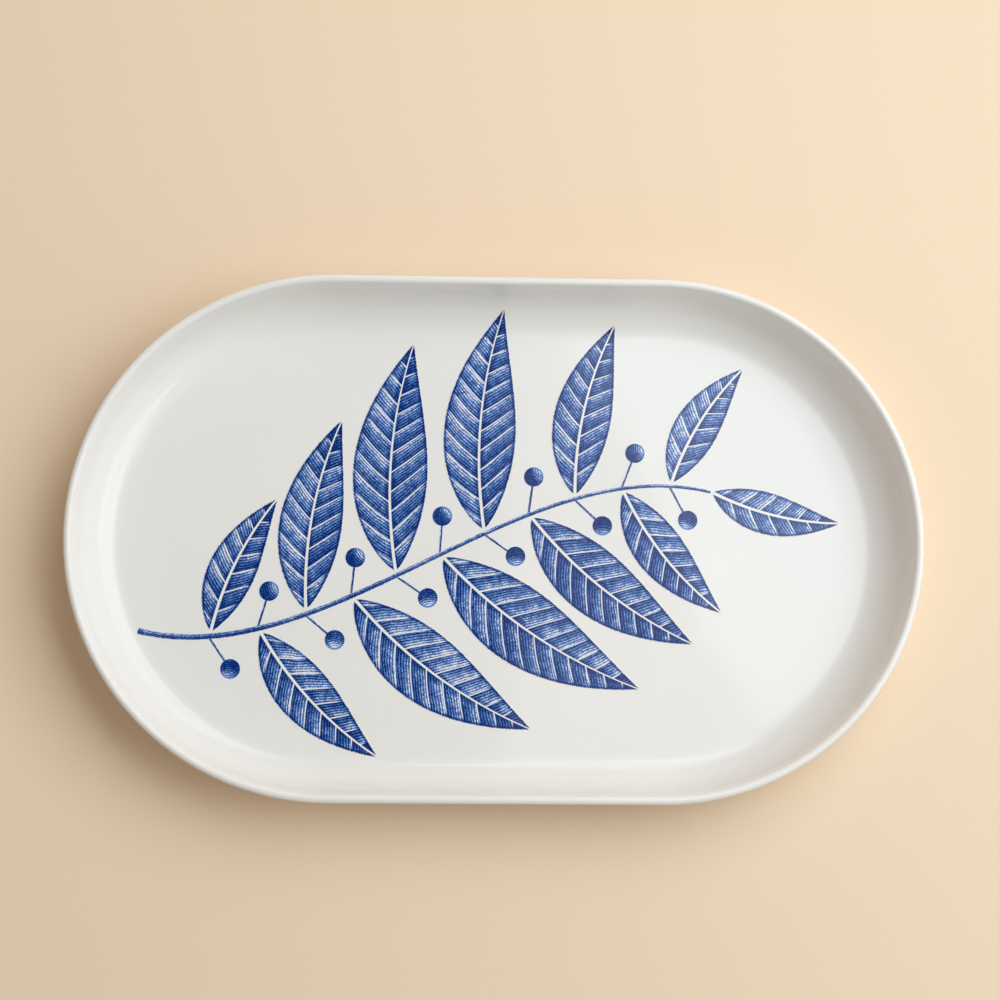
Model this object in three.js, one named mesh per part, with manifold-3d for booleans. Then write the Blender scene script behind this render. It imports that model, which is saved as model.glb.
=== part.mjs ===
// Oval serving platter: a pressed porcelain body with a foot ring, its two coats of clear glaze,
// and a leaf spray printed on the well in blue enamel.
// Millimetres, +Z up. The origin is the middle of the plane that the foot stands on, and X runs along
// the platter.
import * as THREE from "three";
import { mergeVertices, toCreasedNormals } from "three/addons/utils/BufferGeometryUtils.js";
import Module from "manifold-3d";

const wasm = await Module();
wasm.setup();

// Sizes over the glaze, in millimetres and degrees. The lean is measured from upright.
const PLATTER_LENGTH = 360;
const PLATTER_WIDTH = 222;
const PLATTER_HEIGHT = 33;
const LIP_THICKNESS = 3.4;
const WALL_LEAN = 10;
const COVE_RADIUS = 16;
const BASE_RADIUS = 18;
const FLOOR_THICKNESS = 5;

// Foot ring
const FOOT_HEIGHT = 3;
const FOOT_SETBACK = 30;
const FOOT_ROOT_WIDTH = 8;
const FOOT_TREAD_WIDTH = 4;
const FOOT_EASE = 0.5;

// Glaze: the foot is wiped bare below the glaze line
const GLAZE_THICKNESS = 0.3;
const GLAZE_LINE = 1.2;
const BOND_GAP = 0.02;

// Enamel print: a stem that sways along the well, with leaves on alternate sides and a berry across
// from each leaf
const PRINT_THICKNESS = 0.08;
const PRINT_BELOW_LIP = 4;
const STEM_MARGIN = 8;
const STEM_START_FROM_SIDE = 51;
const STEM_END_FROM_SIDE = 67;
const STEM_SWAY = 19;
const STEM_BASE_WIDTH = 2.6;
const STEM_TIP_WIDTH = 1.4;
const LEAF_COUNT = 11;
const FIRST_LEAF_AT = 30;
const LAST_LEAF_BEFORE_TIP = 18;
const LEAF_CLIMB = 11;
const END_LEAF_LENGTH = 58;
const LEAF_ANGLE = 60;
const LEAF_BOW = 12;
const LEAF_CLEARANCE = 3.5;
const LEAF_GAP = 0.9;
const LEAF_SHOULDER = 0.8;
const LEAF_SHARPNESS = 0.95;
const BERRY_DIAMETER = 8.4;
const STALK_LENGTH = 12.5;
const STALK_WIDTH = 1;

// Facets
const END_STEPS = 24;
const ARC_DIVISIONS = 5;
const LEAF_STEPS = 12;
const STEM_STEPS = 24;
const BERRY_SIDES = 14;

// Profile. A radius is measured from the spine, the straight middle line that the platter runs round.
const spine = PLATTER_LENGTH - PLATTER_WIDTH;
const lean = THREE.MathUtils.degToRad(WALL_LEAN);
const floorHeight = FOOT_HEIGHT + FLOOR_THICKNESS;
const lipRadius = LIP_THICKNESS / 2;
const lip = new THREE.Vector2(PLATTER_WIDTH / 2 - lipRadius, PLATTER_HEIGHT - lipRadius);

// Centre, at a height, of an arc that runs into the leaning wall. Its reach is its distance from the
// wall's middle plane, counted into the bowl.
function arcCentre(height, reach) {
  const radius = lip.x - (reach + (lip.y - height) * Math.sin(lean)) / Math.cos(lean);
  return new THREE.Vector2(radius, height);
}

const cove = arcCentre(floorHeight + COVE_RADIUS, COVE_RADIUS + lipRadius);
const base = arcCentre(FOOT_HEIGHT + BASE_RADIUS, BASE_RADIUS - lipRadius);
const footMiddle = (PLATTER_WIDTH - FOOT_ROOT_WIDTH) / 2 - FOOT_SETBACK;

// Half width of the foot ring, over the glaze, at a height
function footHalfWidth(height) {
  return THREE.MathUtils.lerp(FOOT_TREAD_WIDTH, FOOT_ROOT_WIDTH, height / FOOT_HEIGHT) / 2;
}

// Each skin below is a stretch of the profile at a depth under the glazed surface. A negative depth
// stands proud of it.

// The underside, from the spine to the glaze line on the inner face of the foot
function baseSkin(depth) {
  return [
    new THREE.Vector2(0, FOOT_HEIGHT + depth),
    new THREE.Vector2(footMiddle - footHalfWidth(FOOT_HEIGHT) + depth, FOOT_HEIGHT + depth),
    new THREE.Vector2(footMiddle - footHalfWidth(GLAZE_LINE) + depth, GLAZE_LINE),
  ];
}

// The foot below the glaze lines, with its edges eased
function treadSkin(depth) {
  const edge = footHalfWidth(FOOT_EASE) - depth;
  const tread = FOOT_TREAD_WIDTH / 2 - FOOT_EASE - depth;
  return [
    new THREE.Vector2(footMiddle - edge, FOOT_EASE),
    new THREE.Vector2(footMiddle - tread, 0),
    new THREE.Vector2(footMiddle + tread, 0),
    new THREE.Vector2(footMiddle + edge, FOOT_EASE),
  ];
}

// The outside, from the glaze line on the outer face of the foot, up the wall and over the lip
function outerSkin(depth) {
  const path = new THREE.Path();
  path.moveTo(footMiddle + footHalfWidth(GLAZE_LINE) - depth, GLAZE_LINE);
  path.lineTo(footMiddle + footHalfWidth(FOOT_HEIGHT) - depth, FOOT_HEIGHT + depth);
  path.absarc(base.x, base.y, BASE_RADIUS - depth, -Math.PI / 2, -lean);
  path.absarc(lip.x, lip.y, lipRadius - depth, -lean, Math.PI - lean);
  return path.getPoints(ARC_DIVISIONS);
}

// The bowl, from the lip down the wall, round the cove and across the floor to the spine
function bowlSkin(depth) {
  const inward = new THREE.Vector2(-Math.cos(lean), Math.sin(lean));
  const wallTop = lip.clone().addScaledVector(inward, lipRadius - depth);
  const path = new THREE.Path();
  path.moveTo(wallTop.x, wallTop.y);
  path.absarc(cove.x, cove.y, COVE_RADIUS + depth, -lean, -Math.PI / 2, true);
  path.lineTo(0, floorHeight - depth);
  return path.getPoints(ARC_DIVISIONS);
}

function upperSkin(depth) {
  return [...outerSkin(depth), ...bowlSkin(depth).slice(1)];
}

// A lathe whose axis is drawn out into the spine, so that a profile sweeps round a racetrack
function racetrack(profile) {
  const stations = 2 * (END_STEPS + 1);
  const geometry = new THREE.LatheGeometry(profile, stations);
  const position = geometry.getAttribute("position");
  for (let i = 0; i <= stations; i++) {
    const station = i % stations;
    const end = station <= END_STEPS ? 1 : -1;
    const step = end > 0 ? station : station - 1;
    const angle = Math.PI * (step / END_STEPS - 0.5);
    profile.forEach((point, j) => {
      const x = (end * spine) / 2 + point.x * Math.cos(angle);
      position.setXYZ(i * profile.length + j, x, point.x * Math.sin(angle), point.y);
    });
  }
  return geometry;
}

// Closed geometry as a solid that can be joined and cut, and back
function solidOf(geometry) {
  const bare = geometry.clone();
  bare.deleteAttribute("normal");
  bare.deleteAttribute("uv");
  const merged = mergeVertices(bare);
  const mesh = new wasm.Mesh({
    numProp: 3,
    vertProperties: merged.getAttribute("position").array,
    triVerts: new Uint32Array(merged.index.array),
  });
  return new wasm.Manifold(mesh);
}

function geometryOf(solid) {
  const mesh = solid.getMesh();
  const geometry = new THREE.BufferGeometry();
  geometry.setAttribute("position", new THREE.BufferAttribute(mesh.vertProperties, 3));
  geometry.setIndex(new THREE.BufferAttribute(mesh.triVerts, 1));
  return geometry;
}

// The sheet that the enamel lies in, all over the bowl
const printSheet = solidOf(racetrack([
  ...bowlSkin(-BOND_GAP).reverse(),
  ...bowlSkin(-BOND_GAP - PRINT_THICKNESS),
]));

// One patch of enamel: outlines seen from above, joined and cut out of the sheet
function enamelPatch(outlines) {
  const depth = PLATTER_HEIGHT - PRINT_BELOW_LIP;
  const prisms = outlines.map((outline) => {
    const shape = new THREE.Shape(outline);
    return solidOf(new THREE.ExtrudeGeometry(shape, { depth, bevelEnabled: false }));
  });
  const whole = prisms.reduce((joined, prism) => joined.add(prism));
  return geometryOf(printSheet.intersect(whole));
}

// The stem, from near one end of the flat well to where the last leaf carries on to the other end
const wellHalfWidth = cove.x;
const wellHalfLength = spine / 2 + wellHalfWidth;
const stemStart = new THREE.Vector2(STEM_MARGIN - wellHalfLength, STEM_START_FROM_SIDE - wellHalfWidth);
const stemEnd = new THREE.Vector2(
  wellHalfLength - STEM_MARGIN - END_LEAF_LENGTH,
  wellHalfWidth - STEM_END_FROM_SIDE,
);
const stemThird = (stemEnd.x - stemStart.x) / 3;
const stem = new THREE.CubicBezierCurve(
  stemStart,
  stemStart.clone().add(new THREE.Vector2(stemThird, -STEM_SWAY)),
  stemEnd.clone().add(new THREE.Vector2(-stemThird, STEM_SWAY)),
  stemEnd,
);
const stemLength = stem.getLength();

function stemHalfWidth(share) {
  return THREE.MathUtils.lerp(STEM_BASE_WIDTH, STEM_TIP_WIDTH, share) / 2;
}

// Outline of a strip along a curve, with a half width at each share of its length. A side that
// comes to a point has it once.
function stripOutline(curve, steps, halfWidth) {
  const left = [];
  const right = [];
  for (let i = 0; i <= steps; i++) {
    const share = i / steps;
    const middle = curve.getPointAt(share);
    const tangent = curve.getTangentAt(share);
    const across = new THREE.Vector2(-tangent.y, tangent.x).multiplyScalar(halfWidth(share));
    left.push(middle.clone().add(across));
    if (across.length() > 0) {
      right.push(middle.clone().sub(across));
    }
  }
  return [...left, ...right.reverse()];
}

// Places of the leaves along the stem, on alternate sides. Leaves on one side stand a clearance apart,
// and the longest runs a little way up the cove.
const longestLeaf = wellHalfWidth + LEAF_CLIMB;
const leafSpacing = (stemLength - FIRST_LEAF_AT - LAST_LEAF_BEFORE_TIP) / (LEAF_COUNT - 1);
const leafAngle = THREE.MathUtils.degToRad(LEAF_ANGLE);
const leafWidth = 2 * leafSpacing * Math.sin(leafAngle) - LEAF_CLEARANCE;
const leafPlaces = Array.from({ length: LEAF_COUNT }, (_, i) => {
  const share = (FIRST_LEAF_AT + i * leafSpacing) / stemLength;
  const side = i % 2 === 0 ? 1 : -1;
  return { share, side, point: stem.getPointAt(share), along: stem.getTangentAt(share) };
});

function turned(direction, angle) {
  return direction.clone().rotateAround(new THREE.Vector2(), angle);
}

// A lance-shaped leaf that bows towards the tip of the spray. It is widest where the shoulder puts it,
// and its width follows its length.
function leafOutline(start, direction, side, length) {
  const size = length / longestLeaf;
  const bow = turned(direction, (side * Math.PI) / 2).multiplyScalar(LEAF_BOW * size);
  const tip = start.clone().addScaledVector(direction, length);
  const middle = start.clone().lerp(tip, 0.5).add(bow);
  const midrib = new THREE.QuadraticBezierCurve(start, middle, tip);
  return stripOutline(midrib, LEAF_STEPS, (share) => {
    const swell = share < 1 ? Math.sin(Math.PI * share ** LEAF_SHOULDER) : 0;
    return (leafWidth / 2) * size * swell ** LEAF_SHARPNESS;
  });
}

// A leaf beside the stem, longest in the middle of the spray
function sideLeaf({ share, side, point, along }) {
  const direction = turned(along, side * leafAngle);
  const clear = stemHalfWidth(share) / Math.sin(leafAngle) + LEAF_GAP;
  const length = THREE.MathUtils.lerp(END_LEAF_LENGTH, longestLeaf, Math.sin(Math.PI * share) ** 2);
  return leafOutline(point.clone().addScaledVector(direction, clear), direction, side, length);
}

// The leaf that carries on from the tip of the stem
function endLeaf() {
  const direction = stem.getTangentAt(1);
  const start = stemEnd.clone().addScaledVector(direction, LEAF_GAP);
  return leafOutline(start, direction, -1, END_LEAF_LENGTH - LEAF_GAP);
}

// A berry on its stalk, across the stem from a leaf
function berryOutlines({ side, point, along }) {
  const direction = turned(along, -side * leafAngle);
  const radius = BERRY_DIAMETER / 2;
  const middle = point.clone().addScaledVector(direction, STALK_LENGTH + radius);
  const stalk = stripOutline(new THREE.LineCurve(point, middle), 1, () => STALK_WIDTH / 2);
  const berry = new THREE.EllipseCurve(middle.x, middle.y, radius, radius).getPoints(BERRY_SIDES);
  return [stalk, berry.slice(1)];
}

// Materials
const porcelain = new THREE.MeshStandardMaterial({ color: "#e4dfd6", roughness: 0.75 });
const glaze = new THREE.MeshStandardMaterial({ color: "#e9e8e4", roughness: 0.1 });
const enamel = new THREE.MeshStandardMaterial({ color: "#28509f", roughness: 0.15 });

const CREASE = THREE.MathUtils.degToRad(40);
const platter = new THREE.Group();

function addPiece(name, geometry, material) {
  const piece = new THREE.Mesh(toCreasedNormals(geometry, CREASE), material);
  piece.name = name;
  platter.add(piece);
}

// The body is bare on the foot. Each coat of glaze runs from its skin down to the body's.
const bodyProfile = [
  ...baseSkin(GLAZE_THICKNESS),
  ...treadSkin(GLAZE_THICKNESS),
  ...upperSkin(GLAZE_THICKNESS),
];
const coatDepth = GLAZE_THICKNESS - BOND_GAP;
addPiece("porcelain_body", racetrack(bodyProfile), porcelain);
addPiece("upper_glaze", racetrack([...upperSkin(coatDepth).reverse(), ...upperSkin(0)]), glaze);
addPiece("base_glaze", racetrack([...baseSkin(0), ...baseSkin(coatDepth).reverse()]), glaze);

addPiece("print_stem", enamelPatch([
  stripOutline(stem, STEM_STEPS, stemHalfWidth),
  ...leafPlaces.flatMap(berryOutlines),
]), enamel);
leafPlaces.forEach((place, i) => {
  addPiece(`print_leaf_${String(i + 1).padStart(2, "0")}`, enamelPatch([sideLeaf(place)]), enamel);
});
addPiece("print_end_leaf", enamelPatch([endLeaf()]), enamel);

export default platter;
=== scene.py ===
# %% [markdown]
# # A printed porcelain serving platter
# A platter like this is pressed from porcelain clay in one piece, fired, glazed all over except where it
# stands in the kiln, and printed with cobalt enamel. This lesson rebuilds it from a few rules: one profile
# that is swept round a racetrack, one leaf that is bent along its midrib, and one stem that carries them.
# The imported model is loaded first. It is the frame that every piece has to fit, in metres, with the foot on
# z = 0.

# %% Load the frame
import math

import bmesh
import bpy
from mathutils import Matrix, Vector


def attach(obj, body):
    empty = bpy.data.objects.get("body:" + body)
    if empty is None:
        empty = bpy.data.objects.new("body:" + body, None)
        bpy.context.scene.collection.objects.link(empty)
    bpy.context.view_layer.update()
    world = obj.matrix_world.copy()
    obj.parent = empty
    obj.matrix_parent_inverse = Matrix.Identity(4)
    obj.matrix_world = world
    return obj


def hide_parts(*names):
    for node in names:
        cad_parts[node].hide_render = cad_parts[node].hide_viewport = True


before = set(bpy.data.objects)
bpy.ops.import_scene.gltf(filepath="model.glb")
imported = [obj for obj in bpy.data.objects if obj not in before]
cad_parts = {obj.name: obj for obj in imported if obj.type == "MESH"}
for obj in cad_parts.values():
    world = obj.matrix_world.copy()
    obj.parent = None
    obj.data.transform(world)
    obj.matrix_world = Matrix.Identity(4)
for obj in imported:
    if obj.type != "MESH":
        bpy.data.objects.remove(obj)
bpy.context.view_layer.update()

MM = 0.001
IN_MM = 1 / MM
WELD = 2e-6
scene = bpy.context.scene
scene.view_settings.view_transform = "Standard"
print("nodes in the frame:", len(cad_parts))

# %% [markdown]
# ## The camera
# The picture is taken almost straight down, from a little in front of the platter, with a lens of medium
# length. A camera could be aimed with a constraint, but three small turns say more plainly how it hangs: a
# tilt towards the back, a pan to the right and a trace of roll.

# %% Hang the camera over the platter
CAMERA_PLACE = (-32.9, -115.4, 923.7)
CAMERA_TILT = 8.32
CAMERA_PAN = -2.19
CAMERA_ROLL = 0.30
LENS = 77.56
SENSOR_WIDTH = 36

camera = bpy.data.objects.new("camera", bpy.data.cameras.new("camera"))
camera.data.lens = LENS
camera.data.sensor_width = SENSOR_WIDTH
camera.data.clip_start = 0.01
camera.matrix_world = (
    Matrix.Translation(Vector(CAMERA_PLACE) * MM)
    @ Matrix.Rotation(math.radians(CAMERA_PAN), 4, "Y")
    @ Matrix.Rotation(math.radians(CAMERA_TILT), 4, "X")
    @ Matrix.Rotation(math.radians(CAMERA_ROLL), 4, "Z")
)
scene.collection.objects.link(camera)
scene.camera = camera
print("camera at", [round(x, 3) for x in camera.location], "with a", LENS, "mm lens")

# %% [markdown]
# ## Short calls for nodes
# Both the shapes and the finishes below are node trees. Written out in full they would hide the idea behind
# dozens of links, so a few helpers add a node, feed its inputs with numbers or with other nodes' outputs,
# and hand back what comes out.

# %% Helpers that add and feed nodes
def feed(tree, socket, value):
    if isinstance(value, bpy.types.NodeSocket):
        tree.links.new(value, socket)
    else:
        socket.default_value = value


def add(tree, kind, inputs=None, **settings):
    """One node, with its settings made and its inputs fed by name or number."""
    made = tree.nodes.new(kind)
    for name, value in settings.items():
        setattr(made, name, value)
    for key, value in (inputs or {}).items():
        feed(tree, made.inputs[key], value)
    return made


def calc(tree, operation, *values):
    """A Math node."""
    made = add(tree, "ShaderNodeMath", dict(enumerate(values)), operation=operation)
    return made.outputs[0]


def vector(tree, x=0.0, y=0.0, z=0.0):
    return add(tree, "ShaderNodeCombineXYZ", {"X": x, "Y": y, "Z": z}).outputs[0]


def parts(tree, value):
    """The x, y and z of a vector."""
    return add(tree, "ShaderNodeSeparateXYZ", {0: value}).outputs


def vsum(tree, a, b):
    return add(tree, "ShaderNodeVectorMath", {0: a, 1: b}, operation="ADD").outputs[0]


def vscale(tree, a, factor):
    return add(tree, "ShaderNodeVectorMath", {0: a, "Scale": factor}, operation="SCALE").outputs[0]


def rise(tree, value, start, end):
    """0 before start, 1 after end and smooth between, or the other way round where start is the higher."""
    inputs = {0: value, 1: start, 2: end}
    return add(tree, "ShaderNodeMapRange", inputs, interpolation_type="SMOOTHSTEP").outputs[0]


def between(tree, share, low, high):
    """A value that goes from low to high as a share goes from 0 to 1."""
    return add(tree, "ShaderNodeMapRange", {0: share, 3: low, 4: high}).outputs[0]


def tint(tree, share, a, b):
    """A colour that goes from a to b."""
    return add(tree, "ShaderNodeMix", {0: share, 6: a, 7: b}, data_type="RGBA").outputs[2]


SOCKETS = {
    "value": "NodeSocketFloat",
    "count": "NodeSocketInt",
    "vector": "NodeSocketVector",
    "colour": "NodeSocketColor",
    "shape": "NodeSocketGeometry",
    "object": "NodeSocketObject",
    "material": "NodeSocketMaterial",
}


def new_tree(name, kind, inputs, outputs):
    """A node tree with named inputs and outputs: the tree, its inputs and the node that takes its outputs."""
    tree = bpy.data.node_groups.new(name, kind)
    for label, form in inputs.items():
        tree.interface.new_socket(label, in_out="INPUT", socket_type=SOCKETS[form])
    for label, form in outputs.items():
        tree.interface.new_socket(label, in_out="OUTPUT", socket_type=SOCKETS[form])
    source = tree.nodes.new("NodeGroupInput")
    return tree, source.outputs, tree.nodes.new("NodeGroupOutput")


def srgb(red, green, blue):
    """A colour as a picture editor shows it, from 0 to 255, made linear for Blender."""
    def linear(level):
        level = level / 255
        return level / 12.92 if level <= 0.04045 else ((level + 0.055) / 1.055) ** 2.4
    return (linear(red), linear(green), linear(blue), 1.0)


# %% [markdown]
# ## Finishes that are shared
# Two effects turn up on more than one material, so each is a shader group. The glaze was liquid in the
# kiln: it lies in long shallow waves, shows the rings that the shaping tool left along the wall, has a skin
# as fine as an orange's and here and there a pinhole, and the enamel under the same gloss has them too. The
# print is engraved: its tone is made of fine lines and of stipple, and where the tone is light, the lines
# break up and white shows through.

# %% Group: the skin of the glaze
RING_STRETCH = 45.0
WAVE_HEIGHT = 0.9
RING_HEIGHT = 0.65
PEEL_HEIGHT = 0.012
PINHOLE_DEPTH = 0.05
GLAZE_ROUGHNESS = (0.045, 0.10)
glaze_skin, skin_in, skin_out = new_tree(
    "glaze skin", "ShaderNodeTree",
    {"Place": "vector"},
    {"Height": "value", "Roughness": "value", "Drift": "value"},
)
waves = add(glaze_skin, "ShaderNodeTexNoise", {"Vector": skin_in["Place"], "Scale": 18.0, "Detail": 1.0})
peel = add(glaze_skin, "ShaderNodeTexNoise", {"Vector": skin_in["Place"], "Scale": 420.0, "Detail": 2.0})
drift = add(glaze_skin, "ShaderNodeTexNoise", {"Vector": skin_in["Place"], "Scale": 9.0, "Detail": 3.0})
cells = add(glaze_skin, "ShaderNodeTexVoronoi", {"Vector": skin_in["Place"], "Scale": 55.0})
pinhole = rise(glaze_skin, cells.outputs["Distance"], 0.028, 0.012)
x, y, z = parts(glaze_skin, skin_in["Place"])
by_height = vector(glaze_skin, x, y, calc(glaze_skin, "MULTIPLY", z, RING_STRETCH))
rings = add(glaze_skin, "ShaderNodeTexNoise", {"Vector": by_height, "Scale": 5.0, "Detail": 3.0})
height = calc(glaze_skin, "MULTIPLY", waves.outputs[0], WAVE_HEIGHT)
height = calc(glaze_skin, "MULTIPLY_ADD", rings.outputs[0], RING_HEIGHT, height)
height = calc(glaze_skin, "MULTIPLY_ADD", peel.outputs[0], PEEL_HEIGHT, height)
height = calc(glaze_skin, "MULTIPLY_ADD", pinhole, -PINHOLE_DEPTH, height)
feed(glaze_skin, skin_out.inputs["Height"], height)
feed(glaze_skin, skin_out.inputs["Roughness"], between(glaze_skin, peel.outputs[0], *GLAZE_ROUGHNESS))
feed(glaze_skin, skin_out.inputs["Drift"], rise(glaze_skin, drift.outputs[0], 0.3, 0.7))
print("group:", glaze_skin.name)

# %% Group: engraved ink
COBALT_DEEP = srgb(6, 46, 116)
COBALT_PALE = srgb(104, 146, 212)
LINE_WANDER = 1.9
GRAIN_AMOUNT = 1.5
BLOT_AMOUNT = 0.75
SHADE_AMOUNT = 0.7
LINE_AMOUNT = 0.55
engraved, ink_in, ink_out = new_tree(
    "engraved ink", "ShaderNodeTree",
    {"Across lines": "value", "Line spacing": "value", "Tone": "value", "Place": "vector"},
    {"Ink": "value", "Colour": "colour", "Grain": "value"},
)
place = ink_in["Place"]
grain = add(engraved, "ShaderNodeTexNoise", {"Vector": place, "Scale": 2300.0, "Detail": 2.0}).outputs[0]
blots = add(engraved, "ShaderNodeTexNoise", {"Vector": place, "Scale": 420.0, "Detail": 2.0}).outputs[0]
wander = add(engraved, "ShaderNodeTexNoise", {"Vector": place, "Scale": 110.0, "Detail": 1.0}).outputs[0]
shade = add(engraved, "ShaderNodeTexNoise", {"Vector": place, "Scale": 38.0, "Detail": 2.0}).outputs[0]
shift = calc(engraved, "MULTIPLY_ADD", wander, LINE_WANDER, ink_in["Across lines"])
turns = calc(engraved, "MULTIPLY", calc(engraved, "DIVIDE", shift, ink_in["Line spacing"]), math.tau)
gap = calc(engraved, "MULTIPLY_ADD", calc(engraved, "COSINE", turns), 0.5, 0.5)
grit = calc(engraved, "MULTIPLY_ADD", calc(engraved, "SUBTRACT", grain, 0.5), GRAIN_AMOUNT, ink_in["Tone"])
blotted = calc(engraved, "MULTIPLY_ADD", calc(engraved, "SUBTRACT", blots, 0.5), BLOT_AMOUNT, grit)
shaded = calc(engraved, "MULTIPLY_ADD", calc(engraved, "SUBTRACT", shade, 0.5), SHADE_AMOUNT, blotted)
level = calc(engraved, "MULTIPLY_ADD", gap, -LINE_AMOUNT, shaded)
feed(engraved, ink_out.inputs["Ink"], rise(engraved, level, -0.10, 0.10))
thin_ink = rise(engraved, level, 0.8, 0.05)
feed(engraved, ink_out.inputs["Colour"], tint(engraved, thin_ink, COBALT_DEEP, COBALT_PALE))
feed(engraved, ink_out.inputs["Grain"], grain)
print("group:", engraved.name)

# %% [markdown]
# ## Glaze and bare porcelain
# Glazed porcelain is white clay seen through clear glass. A layered shader with real depth would be slow
# and is not needed: one shader with a white base and a sharp, even gloss gives the same look, and the glaze
# skin moves the gloss about. The foot is wiped clean of glaze before firing, so there the clay shows: dry,
# a little darker, grainy to the touch and rubbed grey by the shelf it stands on.

# %% Materials: glaze and bare porcelain
GLAZE_WHITE = srgb(235, 234, 230)
GLAZE_SHADE = srgb(232, 232, 229)
GLOSS_LEVEL = 0.3
INK_RELIEF = 0.012
SKIN_DEPTH = 0.4 * MM


def new_material(name, shown):
    """An empty material with one Principled shader, and its object coordinates."""
    material = bpy.data.materials.new(name)
    material.use_nodes = True
    material.diffuse_color = shown
    tree = material.node_tree
    tree.nodes.clear()
    shader = add(tree, "ShaderNodeBsdfPrincipled", {"Specular IOR Level": GLOSS_LEVEL})
    output = add(tree, "ShaderNodeOutputMaterial", {"Surface": shader.outputs[0]})
    output.is_active_output = True
    return material, tree, shader, add(tree, "ShaderNodeTexCoord").outputs["Object"]


def wear_glaze(tree, shader, place, roughness=None, relief=None):
    """Gives a shader the glaze's gloss and waves, with a relief of its own where it has one."""
    skin = add(tree, "ShaderNodeGroup", node_tree=glaze_skin)
    feed(tree, skin.inputs["Place"], place)
    feed(tree, shader.inputs["Roughness"], roughness or skin.outputs["Roughness"])
    height = skin.outputs["Height"]
    if relief is not None:
        height = calc(tree, "MULTIPLY_ADD", relief, INK_RELIEF, height)
    bump = add(tree, "ShaderNodeBump", {"Strength": 1.0, "Distance": SKIN_DEPTH, "Height": height})
    feed(tree, shader.inputs["Normal"], bump.outputs[0])
    return skin


white_glaze, tree, shader, place = new_material("white glaze", GLAZE_WHITE)
skin = wear_glaze(tree, shader, place)
feed(tree, shader.inputs["Base Color"], tint(tree, skin.outputs["Drift"], GLAZE_SHADE, GLAZE_WHITE))

CLAY = srgb(222, 215, 203)
CLAY_GRAIN = srgb(208, 200, 187)
CLAY_RUBBED = srgb(196, 189, 178)
RUBBED_UP_TO = 0.25 * MM
bare_porcelain, tree, shader, place = new_material("bare porcelain", CLAY)
sand = add(tree, "ShaderNodeTexNoise", {"Vector": place, "Scale": 2600.0, "Detail": 3.0}).outputs[0]
rubbing = add(tree, "ShaderNodeTexNoise", {"Vector": place, "Scale": 260.0, "Detail": 6.0}).outputs[0]
under = calc(tree, "LESS_THAN", parts(tree, place)[2], RUBBED_UP_TO)
rubbed = calc(tree, "MULTIPLY", rise(tree, rubbing, 0.42, 0.72), under)
grainy = tint(tree, rise(tree, sand, 0.35, 0.7), CLAY_GRAIN, CLAY)
feed(tree, shader.inputs["Base Color"], tint(tree, rubbed, grainy, CLAY_RUBBED))
feed(tree, shader.inputs["Roughness"], between(tree, sand, 0.62, 0.9))
bump = add(tree, "ShaderNodeBump", {"Strength": 0.6, "Distance": 0.15 * MM, "Height": sand})
feed(tree, shader.inputs["Normal"], bump.outputs[0])
print("materials:", white_glaze.name, "and", bare_porcelain.name)

# %% [markdown]
# ## Cobalt enamel
# Each printed leaf carries three numbers on its surface, in millimetres: how far along the midrib a point
# is, how far to the side, and how wide the leaf is there. Veins are drawn from them, so they follow the
# leaf however it bends. The tissue swells between two side veins: it is dark just past a vein and pales
# towards the next one, and the hatching runs the same way as the veins. The midrib and the veins stay
# white.

# %% Material: a printed leaf
VEIN_SPACING = 8.5
VEIN_SLANT = 0.72
VEIN_CURL = 0.011
RIB_WIDTHS = (0.66, 0.24)
RIB_TAPER = 90.0
HATCH_SPACING = 1.45
INK_ROUGHNESS = (0.07, 0.12)
leaf_enamel, tree, shader, place = new_material("cobalt leaf", COBALT_DEEP)
along, aside, half = parts(tree, add(tree, "ShaderNodeAttribute", attribute_name="leaf_mm").outputs["Vector"])
reach = calc(tree, "ABSOLUTE", aside)
left = calc(tree, "GREATER_THAN", aside, 0.0)
edge = calc(tree, "SUBTRACT", half, reach)

slant = calc(tree, "MULTIPLY_ADD", reach, VEIN_CURL, VEIN_SLANT)
course = calc(tree, "SUBTRACT", along, calc(tree, "MULTIPLY", reach, slant))
offset = calc(tree, "MULTIPLY_ADD", left, VEIN_SPACING / 2, course)
past_vein = calc(tree, "FRACT", calc(tree, "DIVIDE", offset, VEIN_SPACING))
before_vein = calc(tree, "SUBTRACT", 1.0, past_vein)
to_vein = calc(tree, "MULTIPLY", calc(tree, "MINIMUM", past_vein, before_vein), VEIN_SPACING)

vein_fade = calc(tree, "MULTIPLY", rise(tree, edge, 0.9, 3.5), rise(tree, along, 5.0, 10.0))
vein = calc(tree, "MULTIPLY", rise(tree, to_vein, 0.42, 0.16), vein_fade)
rib_width = between(tree, calc(tree, "DIVIDE", along, RIB_TAPER), *RIB_WIDTHS)
midrib = rise(tree, calc(tree, "SUBTRACT", reach, rib_width), 0.12, -0.12)
line_art = calc(tree, "MAXIMUM", vein, midrib)

swell = between(tree, past_vein, 1.08, 0.46)
darker_side = calc(tree, "MULTIPLY_ADD", left, -0.14, swell)
by_rib = calc(tree, "MULTIPLY_ADD", rise(tree, reach, 3.2, 0.6), 0.35, darker_side)
tone = calc(tree, "MULTIPLY_ADD", rise(tree, edge, 1.7, 0.5), 0.45, by_rib)

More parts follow.
